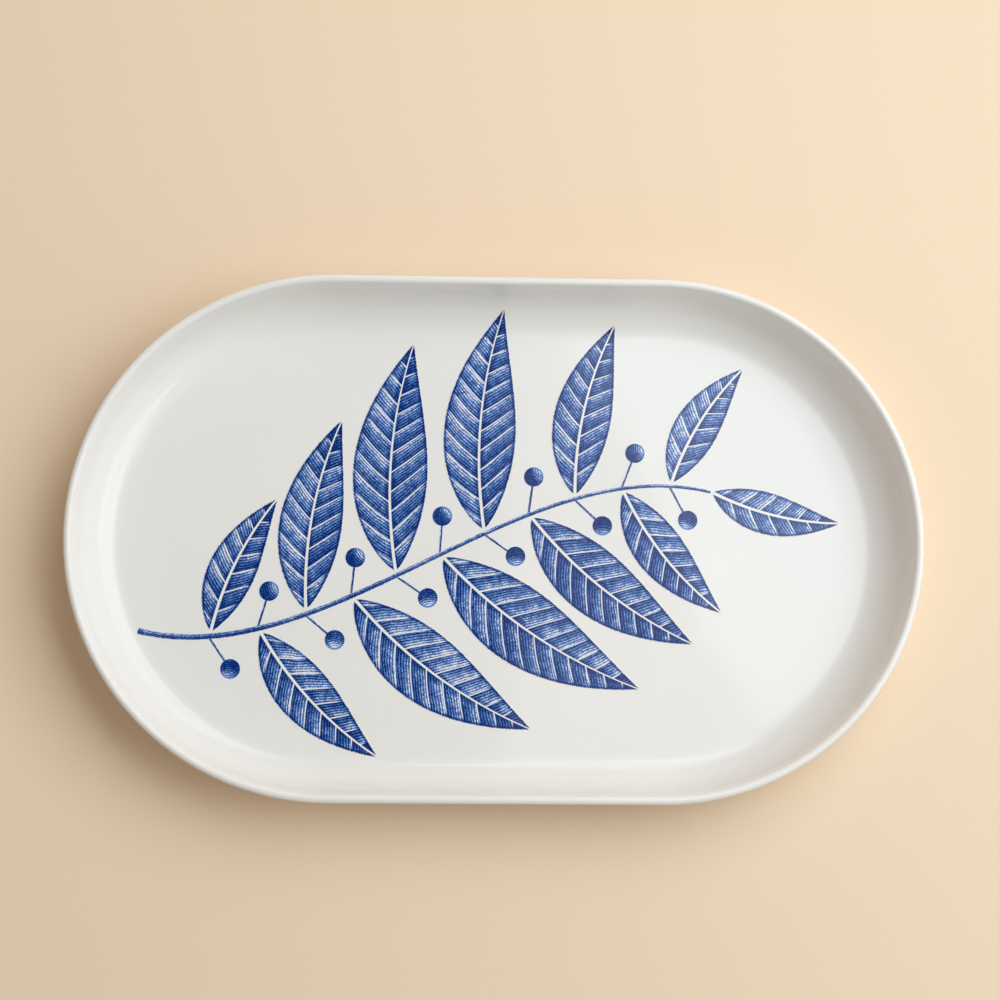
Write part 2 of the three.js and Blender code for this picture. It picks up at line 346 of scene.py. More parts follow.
ink = add(tree, "ShaderNodeGroup", node_tree=engraved)
feed(tree, ink.inputs["Across lines"], course)
feed(tree, ink.inputs["Line spacing"], HATCH_SPACING)
feed(tree, ink.inputs["Tone"], tone)
feed(tree, ink.inputs["Place"], place)
nibbled = rise(tree, calc(tree, "MULTIPLY_ADD", ink.outputs["Grain"], 0.9, edge), 0.45, 0.75)
printed = calc(tree, "MULTIPLY", ink.outputs["Ink"], calc(tree, "SUBTRACT", 1.0, line_art))
leaf_ink = calc(tree, "MULTIPLY", printed, nibbled)
feed(tree, shader.inputs["Base Color"], tint(tree, leaf_ink, GLAZE_WHITE, ink.outputs["Colour"]))
wear_glaze(tree, shader, place, between(tree, leaf_ink, *INK_ROUGHNESS), leaf_ink)
print("material:", leaf_enamel.name)

# %% [markdown]
# The stem is inked darkest along one side, with lines that run its length. A berry is drawn with arcs round
# the place that catches the light, closer and darker towards its far side, as an engraver turns a ball.

# %% Materials: printed stem and berries
STEM_LINES = 0.75
BERRY_LINES = 0.95
BERRY_RIM = (3.3, 3.7)
FROM_BERRY_LIGHT = (-4.5, 5.0, 0.0)
stem_enamel, tree, shader, place = new_material("cobalt stem", COBALT_DEEP)
along, aside, half = parts(tree, add(tree, "ShaderNodeAttribute", attribute_name="stem_mm").outputs["Vector"])
slope = calc(tree, "DIVIDE", aside, half)
ink = add(tree, "ShaderNodeGroup", node_tree=engraved)
feed(tree, ink.inputs["Across lines"], calc(tree, "MULTIPLY_ADD", along, 0.03, aside))
feed(tree, ink.inputs["Line spacing"], STEM_LINES)
feed(tree, ink.inputs["Tone"], between(tree, rise(tree, slope, -0.3, 0.7), 1.0, 0.5))
feed(tree, ink.inputs["Place"], place)
to_edge = calc(tree, "MULTIPLY_ADD", ink.outputs["Grain"], -0.5, calc(tree, "ABSOLUTE", slope))
worn = rise(tree, to_edge, 0.8, 0.6)
stem_ink = calc(tree, "MULTIPLY", ink.outputs["Ink"], worn)
feed(tree, shader.inputs["Base Color"], tint(tree, stem_ink, GLAZE_WHITE, ink.outputs["Colour"]))
wear_glaze(tree, shader, place, between(tree, stem_ink, *INK_ROUGHNESS), stem_ink)

berry_enamel, tree, shader, place = new_material("cobalt berry", COBALT_DEEP)
berry_place = add(tree, "ShaderNodeAttribute", attribute_name="berry_mm").outputs["Vector"]
from_light = vsum(tree, berry_place, FROM_BERRY_LIGHT)
round_light = add(tree, "ShaderNodeVectorMath", {0: from_light}, operation="LENGTH").outputs["Value"]
from_middle = add(tree, "ShaderNodeVectorMath", {0: berry_place}, operation="LENGTH").outputs["Value"]
ink = add(tree, "ShaderNodeGroup", node_tree=engraved)
feed(tree, ink.inputs["Across lines"], round_light)
feed(tree, ink.inputs["Line spacing"], BERRY_LINES)
feed(tree, ink.inputs["Tone"], between(tree, rise(tree, round_light, 2.8, 8.5), 0.22, 1.15))
feed(tree, ink.inputs["Place"], place)
rim = rise(tree, from_middle, *BERRY_RIM)
berry_ink = calc(tree, "MAXIMUM", ink.outputs["Ink"], rim)
feed(tree, shader.inputs["Base Color"], tint(tree, berry_ink, GLAZE_WHITE, ink.outputs["Colour"]))
wear_glaze(tree, shader, place, between(tree, berry_ink, *INK_ROUGHNESS), berry_ink)
print("materials:", stem_enamel.name, "and", berry_enamel.name)

# %% [markdown]
# ## The profile of the platter
# Cut across, the platter is one wall of even thickness: a flat floor, a tight cove, a wall that leans out,
# and a round lip. Under it a low foot ring is set in from the edge. The profile is drawn with arcs that
# touch the lines they join, so the gloss runs over them without a break. A radius is measured from the
# spine, the straight middle line that the platter runs round, and a depth is measured inwards from the
# glazed surface.

# %% Sizes of the profile, in millimetres
LENGTH = 360
WIDTH = 222
HEIGHT = 33
LIP_RADIUS = 1.7
WALL_LEAN = 10
COVE_RADIUS = 16
BASE_RADIUS = 18
FLOOR_THICKNESS = 5
FOOT_HEIGHT = 3
FOOT_MIDDLE = 77
FOOT_ROOT = 8
FOOT_TREAD = 4
ROOT_EASE = 1.3
TREAD_EASE = 0.6
GLAZE_LINE = 1.2
GLAZE_THICKNESS = 0.3
BOND_GAP = 0.02

floor_height = FOOT_HEIGHT + FLOOR_THICKNESS
lean = math.radians(WALL_LEAN)
lip = Vector((WIDTH / 2 - LIP_RADIUS, HEIGHT - LIP_RADIUS))


def arc_centre(height, reach):
    """Centre of an arc that runs into the leaning wall, at a reach from the wall's middle plane."""
    return Vector((lip.x - (reach + (lip.y - height) * math.sin(lean)) / math.cos(lean), height))


cove = arc_centre(floor_height + COVE_RADIUS, COVE_RADIUS + LIP_RADIUS)
base = arc_centre(FOOT_HEIGHT + BASE_RADIUS, BASE_RADIUS - LIP_RADIUS)
print("flat floor out to", round(cove.x, 1), "mm from the spine")

# %% Stretches of the profile
def arc(centre, radius, start, end, step=3.0):
    """Points on an arc, from one angle to another in degrees."""
    count = math.ceil(abs(end - start) / step)
    angles = [math.radians(start + (end - start) * i / count) for i in range(count + 1)]
    return [centre + radius * Vector((math.cos(a), math.sin(a))) for a in angles]


def eased(before, corner, after, size, count=6):
    """A corner rounded over a size on both sides."""
    start = corner + (before - corner).normalized() * size
    end = corner + (after - corner).normalized() * size
    shares = [i / count for i in range(count + 1)]
    return [start.lerp(corner, s).lerp(corner.lerp(end, s), s) for s in shares]


def foot_half(height):
    return (FOOT_TREAD + (FOOT_ROOT - FOOT_TREAD) * height / FOOT_HEIGHT) / 2


def base_skin(depth):
    """The underside, from the spine to the glaze line inside the foot."""
    middle = Vector((0, FOOT_HEIGHT + depth))
    root = Vector((FOOT_MIDDLE - foot_half(FOOT_HEIGHT) + depth, FOOT_HEIGHT + depth))
    line = Vector((FOOT_MIDDLE - foot_half(GLAZE_LINE) + depth, GLAZE_LINE))
    return [middle, middle.lerp(root, 0.95)] + eased(middle, root, line, ROOT_EASE) + [line]


def tread_skin(depth):
    """The bare foot, from one glaze line to the other, with its edges eased."""
    edge = foot_half(GLAZE_LINE) - depth
    tread = foot_half(0) - depth
    points = [Vector((x, h)) for x, h in ((-edge, GLAZE_LINE), (-tread, 0), (tread, 0), (edge, GLAZE_LINE))]
    inner = eased(points[0], points[1], points[2], TREAD_EASE)
    outer = eased(points[1], points[2], points[3], TREAD_EASE)
    return [Vector((FOOT_MIDDLE, 0)) + point for point in inner + outer]


def upper_skin(depth):
    """The outside up from the foot's glaze line, over the lip, and the bowl down to the spine."""
    line = Vector((FOOT_MIDDLE + foot_half(GLAZE_LINE) - depth, GLAZE_LINE))
    root = Vector((FOOT_MIDDLE + foot_half(FOOT_HEIGHT) - depth, FOOT_HEIGHT + depth))
    flat = Vector((base.x, FOOT_HEIGHT + depth))
    foot = [line] + eased(line, root, flat, ROOT_EASE)
    outside = arc(base, BASE_RADIUS - depth, -90, -WALL_LEAN)
    over_lip = arc(lip, LIP_RADIUS - depth, -WALL_LEAN, 180 - WALL_LEAN, 7.5)
    cove_arc = arc(cove, COVE_RADIUS + depth, -WALL_LEAN, -90)
    outer_wall = [outside[-1].lerp(over_lip[0], share) for share in (0.04, 0.96)]
    inner_wall = [over_lip[-1].lerp(cove_arc[0], share) for share in (0.04, 0.96)]
    well = [Vector((cove.x * share, floor_height - depth)) for share in (0.985, 0.5, 0)]
    return foot + outside + outer_wall + over_lip + inner_wall + cove_arc + well


coat = GLAZE_THICKNESS - BOND_GAP
profiles = {
    "clay_body": base_skin(GLAZE_THICKNESS) + tread_skin(GLAZE_THICKNESS) + upper_skin(GLAZE_THICKNESS),
    "glaze_over": upper_skin(coat)[::-1] + upper_skin(0),
    "glaze_under": base_skin(0) + base_skin(coat)[::-1],
}
for name, profile in profiles.items():
    print(name, "profile:", len(profile), "points")

# %% [markdown]
# ## A lathe for a racetrack
# On a potter's wheel a profile turns round a point. Here it goes round a racetrack: half a turn at one end,
# straight along one side, half a turn at the other end and back. Curve to Mesh could sweep it, but a grid
# is steadier: each row of the grid is one point of the profile, each column one station round the track,
# and Set Position puts every vertex where the two meet. One more column stands just before and after each
# half turn, so that the long straight sides shade flat. At the spine the columns meet, and Merge by
# Distance closes the seam.

# %% Geometry Nodes: the racetrack lathe
lathe, lathe_in, lathe_out = new_tree(
    "racetrack lathe", "GeometryNodeTree",
    {
        "Profile": "shape", "Spine": "value", "Steps round an end": "count", "Run-in": "value",
        "Material": "material",
    },
    {"Platter": "shape"},
)
steps = lathe_in["Steps round an end"]
rows = add(lathe, "GeometryNodeAttributeDomainSize", {0: lathe_in["Profile"]}).outputs["Point Count"]
columns_per_end = calc(lathe, "ADD", steps, 3.0)
columns = calc(lathe, "MULTIPLY_ADD", columns_per_end, 2.0, 1.0)
grid = add(lathe, "GeometryNodeMeshGrid", {"Vertices X": rows, "Vertices Y": columns}).outputs["Mesh"]

index = add(lathe, "GeometryNodeInputIndex").outputs[0]
row = calc(lathe, "FLOOR", calc(lathe, "DIVIDE", calc(lathe, "ADD", index, 0.5), columns))
column = calc(lathe, "SUBTRACT", index, calc(lathe, "MULTIPLY", row, columns))
end = calc(lathe, "MODULO", calc(lathe, "FLOOR", calc(lathe, "DIVIDE", column, columns_per_end)), 2.0)
station = calc(lathe, "SUBTRACT", calc(lathe, "MODULO", column, columns_per_end), 1.0)
turned = calc(lathe, "MINIMUM", calc(lathe, "MAXIMUM", station, 0.0), steps)
beyond = calc(lathe, "ABSOLUTE", calc(lathe, "SUBTRACT", station, turned))
run_in = calc(lathe, "MULTIPLY", beyond, lathe_in["Run-in"])
half_turns = calc(lathe, "ADD", calc(lathe, "DIVIDE", turned, steps), calc(lathe, "SUBTRACT", end, 0.5))
angle = calc(lathe, "MULTIPLY", half_turns, math.pi)

position = add(lathe, "GeometryNodeInputPosition").outputs[0]
sample = add(lathe, "GeometryNodeSampleIndex", data_type="FLOAT_VECTOR")
feed(lathe, sample.inputs["Geometry"], lathe_in["Profile"])
feed(lathe, sample.inputs["Value"], position)
feed(lathe, sample.inputs["Index"], row)
radius, _, height = parts(lathe, sample.outputs[0])
which_end = calc(lathe, "MULTIPLY_ADD", end, -2.0, 1.0)
turning_point = calc(lathe, "SUBTRACT", calc(lathe, "MULTIPLY", lathe_in["Spine"], 0.5), run_in)
end_x = calc(lathe, "MULTIPLY", which_end, turning_point)
x = calc(lathe, "MULTIPLY_ADD", radius, calc(lathe, "COSINE", angle), end_x)
y = calc(lathe, "MULTIPLY", radius, calc(lathe, "SINE", angle))

kept = add(lathe, "GeometryNodeCaptureAttribute", {"Geometry": grid})
kept.capture_items.new("FLOAT", "Radius")
feed(lathe, kept.inputs["Radius"], radius)
inputs = {"Geometry": kept.outputs["Geometry"], "Position": vector(lathe, x, y, height)}
placed = add(lathe, "GeometryNodeSetPosition", inputs)
on_spine = calc(lathe, "LESS_THAN", kept.outputs["Radius"], WELD / 2)
inputs = {"Geometry": placed.outputs[0], "Selection": on_spine}
opened = add(lathe, "GeometryNodeDeleteGeometry", inputs, domain="FACE")
closed = add(lathe, "GeometryNodeMergeByDistance", {"Geometry": opened.outputs[0], "Distance": WELD})


SHARP_ANGLE = 0.6


def shade(tree, shape):
    """Smooth shading, with the sharp edges kept."""
    smooth = add(tree, "GeometryNodeSetShadeSmooth", {"Geometry": shape, "Shade Smooth": True})
    bend = add(tree, "GeometryNodeInputMeshEdgeAngle").outputs["Unsigned Angle"]
    sharp = calc(tree, "GREATER_THAN", bend, SHARP_ANGLE)
    inputs = {"Geometry": smooth.outputs[0], "Selection": sharp, "Shade Smooth": False}
    return add(tree, "GeometryNodeSetShadeSmooth", inputs, domain="EDGE").outputs[0]


outward = add(lathe, "GeometryNodeFlipFaces", {"Mesh": closed.outputs[0]})
real = add(lathe, "GeometryNodeRealizeInstances", {"Geometry": shade(lathe, outward.outputs[0])})
inputs = {"Geometry": real.outputs[0], "Material": lathe_in["Material"]}
finished = add(lathe, "GeometryNodeSetMaterial", inputs)
feed(lathe, lathe_out.inputs["Platter"], finished.outputs[0])
print("tree:", lathe.name, "with", len(lathe.nodes), "nodes")

# %% Run a tree and keep a plain mesh
def grow(name, tree, inputs, points=()):
    """Runs a tree on a few points and keeps what it makes as a plain mesh, at the origin."""
    seed = bpy.data.meshes.new(name + "_points")
    seed.from_pydata([tuple(point) for point in points], [], [])
    piece = bpy.data.objects.new(name, seed)
    scene.collection.objects.link(piece)
    modifier = piece.modifiers.new(tree.name, "NODES")
    modifier.node_group = tree
    for item in tree.interface.items_tree:
        if item.in_out == "INPUT" and item.name in inputs:
            modifier[item.identifier] = inputs[item.name]
    made = bpy.data.meshes.new_from_object(piece.evaluated_get(bpy.context.evaluated_depsgraph_get()))
    piece.modifiers.remove(modifier)
    piece.data = made
    made.name = name
    bpy.data.meshes.remove(seed)
    return piece


def measure(piece):
    """Prints a piece's triangles, open edges and volume."""
    bm = bmesh.new()
    bm.from_mesh(piece.data)
    triangles = sum(len(face.verts) - 2 for face in bm.faces)
    unclosed = sum(not edge.is_manifold for edge in bm.edges)
    volume = bm.calc_volume(signed=True) * 1e9
    bm.free()
    print(f"{piece.name}: {triangles} triangles, {unclosed} open edges, {volume:.1f} mm3")


STEPS_ROUND_AN_END = 72
RUN_IN = 1.5
lathe_sizes = {
    "Spine": (LENGTH - WIDTH) * MM, "Steps round an end": STEPS_ROUND_AN_END, "Run-in": RUN_IN * MM,
}
finishes = {"clay_body": bare_porcelain, "glaze_over": white_glaze, "glaze_under": white_glaze}
platter = {}
for name, finish in finishes.items():
    points = [(point.x * MM, 0, point.y * MM) for point in profiles[name]]
    platter[name] = grow(name, lathe, {**lathe_sizes, "Material": finish}, points)
    measure(platter[name])

# %% [markdown]
# ## The course of the stem
# The print is a leafy spray. Its stem sweeps across the flat of the well in one long S, and the leaves
# leave it on alternate sides, longest in the middle of the spray. The stem is a single curve with four
# control points. Walking along it in small steps gives the point and the direction at any distance, which
# is all that the leaves need.

# %% Walk along the stem
STEM_MARGIN = 8
STEM_START_FROM_SIDE = 51
STEM_END_FROM_SIDE = 67
STEM_SWAY = 19
STEM_WIDTHS = (2.6, 1.4)
END_LEAF_LENGTH = 58
WALK_STEPS = 2000
well_half_width = cove.x
well_half_length = (LENGTH - WIDTH) / 2 + well_half_width
stem_start = Vector((STEM_MARGIN - well_half_length, STEM_START_FROM_SIDE - well_half_width))
stem_end = Vector((well_half_length - STEM_MARGIN - END_LEAF_LENGTH, well_half_width - STEM_END_FROM_SIDE))
third = (stem_end.x - stem_start.x) / 3
stem_bends = (stem_start + Vector((third, -STEM_SWAY)), stem_end + Vector((-third, STEM_SWAY)))


def on_stem(t):
    """A point of the stem's curve, from 0 at its foot to 1 at its tip."""
    a, b, c, d = stem_start, stem_bends[0], stem_bends[1], stem_end
    return a * (1 - t) ** 3 + b * 3 * t * (1 - t) ** 2 + c * 3 * t * t * (1 - t) + d * t ** 3


walk = [on_stem(i / WALK_STEPS) for i in range(WALK_STEPS + 1)]
travelled = [0.0]
for before, after in zip(walk, walk[1:]):
    travelled.append(travelled[-1] + (after - before).length)
stem_length = travelled[-1]


def stem_at(distance):
    """The point and the direction of the stem at a distance from its foot."""
    i = min(range(1, WALK_STEPS), key=lambda k: abs(travelled[k] - distance))
    return walk[i], (walk[i + 1] - walk[i - 1]).normalized()


print("the stem is", round(stem_length, 1), "mm long")

# %% [markdown]
# ## Film on the glaze
# Enamel is a film a few hundredths of a millimetre thick. It is drawn as a flat sheet first, dropped
# straight down on the bowl with a ray from above each vertex, lifted a hair off the glaze, and thickened,
# so it lies on the floor and climbs the cove by itself. Leaves and stem both need this, so it is a group
# that both trees use.

# %% Geometry Nodes: lay a film on the glaze
RAY_START = 60 * MM
RAY_LENGTH = 100 * MM
film, film_in, film_out = new_tree(
    "lay film on glaze", "GeometryNodeTree",
    {"Sheet": "shape", "Glaze": "object", "Lift": "value", "Film": "value"},
    {"Film": "shape"},
)
x, y, layer = parts(film, add(film, "GeometryNodeInputPosition").outputs[0])
ground = add(film, "GeometryNodeObjectInfo", {"Object": film_in["Glaze"]}).outputs["Geometry"]
inputs = {
    "Target Geometry": ground, "Source Position": vector(film, x, y, RAY_START),
    "Ray Direction": (0, 0, -1), "Ray Length": RAY_LENGTH,
}
ray = add(film, "GeometryNodeRaycast", inputs)
lifted = vscale(film, ray.outputs["Hit Normal"], calc(film, "ADD", film_in["Lift"], layer))
inputs = {"Geometry": film_in["Sheet"], "Position": vsum(film, ray.outputs["Hit Position"], lifted)}
laid = add(film, "GeometryNodeSetPosition", inputs)
inputs = {"Mesh": laid.outputs[0], "Offset Scale": film_in["Film"], "Individual": False}
thick = add(film, "GeometryNodeExtrudeMesh", inputs)
underside = add(film, "GeometryNodeFlipFaces", {"Mesh": laid.outputs[0]})
both = add(film, "GeometryNodeJoinGeometry")
film.links.new(thick.outputs["Mesh"], both.inputs[0])
film.links.new(underside.outputs["Mesh"], both.inputs[0])
sealed = add(film, "GeometryNodeMergeByDistance", {"Geometry": both.outputs[0], "Distance": WELD})
feed(film, film_out.inputs["Film"], shade(film, sealed.outputs[0]))
print("group:", film.name)

# %% [markdown]
# ## One leaf, twelve times
# A leaf is a grid bent along its midrib: one side of the grid runs from the stalk to the tip, the other
# across. Its half width rises from nothing, is widest before the middle and falls back to nothing. The
# midrib is a curve of three points, and Sample Curve gives its place and direction at every share of its
# length. The tree stores the three numbers that the leaf's finish reads.

# %% Geometry Nodes: a printed leaf
LEAF_SHOULDER = 0.8
LEAF_SHARPNESS = 0.95
LEAF_GRID = (64, 16)


def strip(tree, curve, steps_along, steps_across):
    """A grid to bend along a curve: the grid, its share along, its side from -1 to 1, and the curve there."""
    grid = add(tree, "GeometryNodeMeshGrid", {"Vertices X": steps_along + 1, "Vertices Y": steps_across + 1})
    index = add(tree, "GeometryNodeInputIndex").outputs[0]
    step = calc(tree, "FLOOR", calc(tree, "DIVIDE", calc(tree, "ADD", index, 0.5), steps_across + 1.0))
    share = calc(tree, "DIVIDE", step, float(steps_along))
    rank = calc(tree, "SUBTRACT", index, calc(tree, "MULTIPLY", step, steps_across + 1.0))
    side = calc(tree, "MULTIPLY_ADD", rank, 2.0 / steps_across, -1.0)
    spot = add(tree, "GeometryNodeSampleCurve", {"Curves": curve, "Factor": share}, mode="FACTOR")
    return grid.outputs["Mesh"], share, side, spot.outputs["Position"], spot.outputs["Tangent"]


def bend(tree, grid, side, spot, tangent, half):
    """Puts a grid's vertices beside the curve, at their share of a half width."""
    tx, ty, _ = parts(tree, tangent)
    across = vector(tree, calc(tree, "MULTIPLY", ty, -1.0), tx)
    place = vsum(tree, spot, vscale(tree, across, calc(tree, "MULTIPLY", side, half)))
    return add(tree, "GeometryNodeSetPosition", {"Geometry": grid, "Position": place}).outputs[0]


def store(tree, shape, name, value):
    inputs = {"Geometry": shape, "Name": name, "Value": value}
    stored = add(tree, "GeometryNodeStoreNamedAttribute", inputs, data_type="FLOAT_VECTOR", domain="POINT")
    return stored.outputs[0]


def lay_film(tree, sheet, source):
    """Lays a flat sheet on the glaze, by the sizes that a tree was given."""
    laid = add(tree, "GeometryNodeGroup", node_tree=film)
    feed(tree, laid.inputs["Sheet"], sheet)
    for label in ("Glaze", "Lift", "Film"):
        feed(tree, laid.inputs[label], source[label])
    return add(tree, "GeometryNodeRealizeInstances", {"Geometry": laid.outputs[0]}).outputs[0]


leaf, leaf_in, leaf_out = new_tree(
    "printed leaf", "GeometryNodeTree",
    {
        "Points": "shape", "Stalk": "vector", "Bend": "vector", "Tip": "vector", "Width": "value",
        "Glaze": "object", "Lift": "value", "Film": "value", "Material": "material",
    },
    {"Leaf": "shape"},
)
inputs = {
    "Resolution": LEAF_GRID[0], "Start": leaf_in["Stalk"], "Middle": leaf_in["Bend"], "End": leaf_in["Tip"],
}
midrib = add(leaf, "GeometryNodeCurveQuadraticBezier", inputs).outputs[0]
rib_length = add(leaf, "GeometryNodeCurveLength", {"Curve": midrib}).outputs[0]
grid, share, side, spot, tangent = strip(leaf, midrib, *LEAF_GRID)
swelling = calc(leaf, "SINE", calc(leaf, "MULTIPLY", calc(leaf, "POWER", share, LEAF_SHOULDER), math.pi))
swelling = calc(leaf, "POWER", calc(leaf, "MAXIMUM", swelling, 0.0), LEAF_SHARPNESS)
half = calc(leaf, "MULTIPLY", calc(leaf, "MULTIPLY", leaf_in["Width"], 0.5), swelling)
to_mm = vector(leaf, calc(leaf, "MULTIPLY", share, rib_length), calc(leaf, "MULTIPLY", side, half), half)
numbered = store(leaf, grid, "leaf_mm", vscale(leaf, to_mm, IN_MM))
sheet = bend(leaf, numbered, side, spot, tangent, half)
pointed = add(leaf, "GeometryNodeMergeByDistance", {"Geometry": sheet, "Distance": WELD}).outputs[0]
inputs = {"Geometry": lay_film(leaf, pointed, leaf_in), "Material": leaf_in["Material"]}
finished = add(leaf, "GeometryNodeSetMaterial", inputs)
feed(leaf, leaf_out.inputs["Leaf"], finished.outputs[0])
print("tree:", leaf.name, "with", len(leaf.nodes), "nodes")

# %% Place the leaves along the stem
LEAF_COUNT = 11
FIRST_LEAF = 30
LAST_LEAF_BEFORE_TIP = 18
LEAF_ANGLE = 60
LEAF_BOW = 12
LEAF_CLEARANCE = 3.5
LEAF_GAP = 0.9
LEAF_CLIMB = 11
PRINT_THICKNESS = 0.08
longest_leaf = well_half_width + LEAF_CLIMB
leaf_spacing = (stem_length - FIRST_LEAF - LAST_LEAF_BEFORE_TIP) / (LEAF_COUNT - 1)
leaf_width = 2 * leaf_spacing * math.sin(math.radians(LEAF_ANGLE)) - LEAF_CLEARANCE
film_sizes = {"Glaze": platter["glaze_over"], "Lift": BOND_GAP * MM, "Film": PRINT_THICKNESS * MM}


def turned_by(direction, degrees):
    return Matrix.Rotation(math.radians(degrees), 2) @ direction


def print_leaf(name, start, direction, side, length):
    """One leaf from a start on the stem, bowed towards the tip of the spray."""
    size = length / longest_leaf
    tip = start + direction * length
    bowed = start.lerp(tip, 0.5) + turned_by(direction, side * 90) * LEAF_BOW * size
    points = {"Stalk": start, "Bend": bowed, "Tip": tip}
    inputs = {label: (point.x * MM, point.y * MM, 0.0) for label, point in points.items()}
    inputs.update(film_sizes, Width=leaf_width * size * MM, Material=leaf_enamel)
    return grow(name, leaf, inputs)


leaves = []
for i in range(LEAF_COUNT):
    distance = FIRST_LEAF + i * leaf_spacing
    share = distance / stem_length
    side = 1 if i % 2 == 0 else -1
    point, direction = stem_at(distance)
    heading = turned_by(direction, side * LEAF_ANGLE)
    stem_half = (STEM_WIDTHS[0] + (STEM_WIDTHS[1] - STEM_WIDTHS[0]) * share) / 2
    clear = stem_half / math.sin(math.radians(LEAF_ANGLE)) + LEAF_GAP
    length = END_LEAF_LENGTH + (longest_leaf - END_LEAF_LENGTH) * math.sin(math.pi * share) ** 2
    leaves.append(print_leaf(f"leaf_{i + 1:02d}", point + heading * clear, heading, side, length))
point, direction = stem_at(stem_length)
end_start = stem_end + direction * LEAF_GAP
leaves.append(print_leaf("end_leaf", end_start, direction, -1, END_LEAF_LENGTH - LEAF_GAP))
for piece in leaves:
    measure(piece)

# %% [markdown]
# ## Stem, stalks and berries
# The stem is a narrow strip bent along its curve, thinner towards the tip. Across the stem from every leaf
# hangs a berry on a short stalk. They are all the same, so one stalk with one berry is made and placed on
# points along the stem, turned to the other side each time. The stalks lie a hair lower than the stem and
# the berries, so that no two faces share a plane where they overlap.

# %% Geometry Nodes: the printed stem
STEM_GRID = (160, 6)
STEM_CURVE_STEPS = 96
STALK_GRID = (9, 3)
STALK_DROP = 0.015 * MM
STALK_MIDDLE = 0.54
stem, stem_in, stem_out = new_tree(
    "printed stem", "GeometryNodeTree",
    {
        "Points": "shape", "Start": "vector", "Start bend": "vector", "End bend": "vector", "End": "vector",
        "Width at foot": "value", "Width at tip": "value", "Berries": "count", "First berry": "value",
        "Berry spacing": "value", "Berry angle": "value", "Stalk length": "value", "Stalk width": "value",
        "Berry radius": "value", "Glaze": "object", "Lift": "value", "Film": "value",
        "Stem material": "material", "Berry material": "material",
    },
    {"Stem": "shape"},
)
inputs = {
    "Resolution": STEM_CURVE_STEPS, "Start": stem_in["Start"], "Start Handle": stem_in["Start bend"],
    "End Handle": stem_in["End bend"], "End": stem_in["End"],
}
stem_line = add(stem, "GeometryNodeCurvePrimitiveBezierSegment", inputs, mode="POSITION").outputs[0]
line_length = add(stem, "GeometryNodeCurveLength", {"Curve": stem_line}).outputs[0]
grid, share, side, spot, tangent = strip(stem, stem_line, *STEM_GRID)
half = calc(stem, "MULTIPLY", between(stem, share, stem_in["Width at foot"], stem_in["Width at tip"]), 0.5)
to_mm = vector(stem, calc(stem, "MULTIPLY", share, line_length), calc(stem, "MULTIPLY", side, half), half)
stem_strip = bend(stem, store(stem, grid, "stem_mm", vscale(stem, to_mm, IN_MM)), side, spot, tangent, half)

stalk_length = stem_in["Stalk length"]
inputs = {
    "Size X": stalk_length, "Size Y": stem_in["Stalk width"],
    "Vertices X": STALK_GRID[0], "Vertices Y": STALK_GRID[1],
}
stalk_grid = add(stem, "GeometryNodeMeshGrid", inputs).outputs["Mesh"]
sx, sy, _ = parts(stem, add(stem, "GeometryNodeInputPosition").outputs[0])
stalk_mm = vscale(stem, vector(stem, sx, sy, calc(stem, "MULTIPLY", stem_in["Stalk width"], 0.5)), IN_MM)
stalk_shift = vector(stem, calc(stem, "MULTIPLY", stalk_length, STALK_MIDDLE), 0.0, -STALK_DROP)
inputs = {"Geometry": store(stem, stalk_grid, "stem_mm", stalk_mm), "Offset": stalk_shift}
stalk = add(stem, "GeometryNodeSetPosition", inputs).outputs[0]

RINGS = 6
SIDES = 36
disc = add(stem, "GeometryNodeMeshGrid", {"Vertices X": RINGS + 1, "Vertices Y": SIDES + 1}).outputs["Mesh"]
index = add(stem, "GeometryNodeInputIndex").outputs[0]
ring = calc(stem, "FLOOR", calc(stem, "DIVIDE", calc(stem, "ADD", index, 0.5), SIDES + 1.0))
turn = calc(stem, "MULTIPLY", calc(stem, "MODULO", index, SIDES + 1.0), math.tau / SIDES)
out = calc(stem, "MULTIPLY", calc(stem, "DIVIDE", ring, float(RINGS)), stem_in["Berry radius"])
bx = calc(stem, "MULTIPLY", out, calc(stem, "COSINE", turn))
by = calc(stem, "MULTIPLY", out, calc(stem, "SINE", turn))
berry_mm = vector(stem, calc(stem, "MULTIPLY", bx, IN_MM), calc(stem, "MULTIPLY", by, IN_MM), 1.0)
disc = store(stem, disc, "berry_mm", berry_mm)
inputs = {"Geometry": disc, "Position": vector(stem, bx, by)}
round_disc = add(stem, "GeometryNodeSetPosition", inputs).outputs[0]
round_disc = add(stem, "GeometryNodeMergeByDistance", {"Geometry": round_disc, "Distance": WELD}).outputs[0]
berry_shift = vector(stem, calc(stem, "ADD", stalk_length, stem_in["Berry radius"]))
at_stalk = add(stem, "GeometryNodeSetPosition", {"Geometry": round_disc, "Offset": berry_shift}).outputs[0]
fruit = add(stem, "GeometryNodeJoinGeometry")
stem.links.new(stalk, fruit.inputs[0])
stem.links.new(at_stalk, fruit.inputs[0])

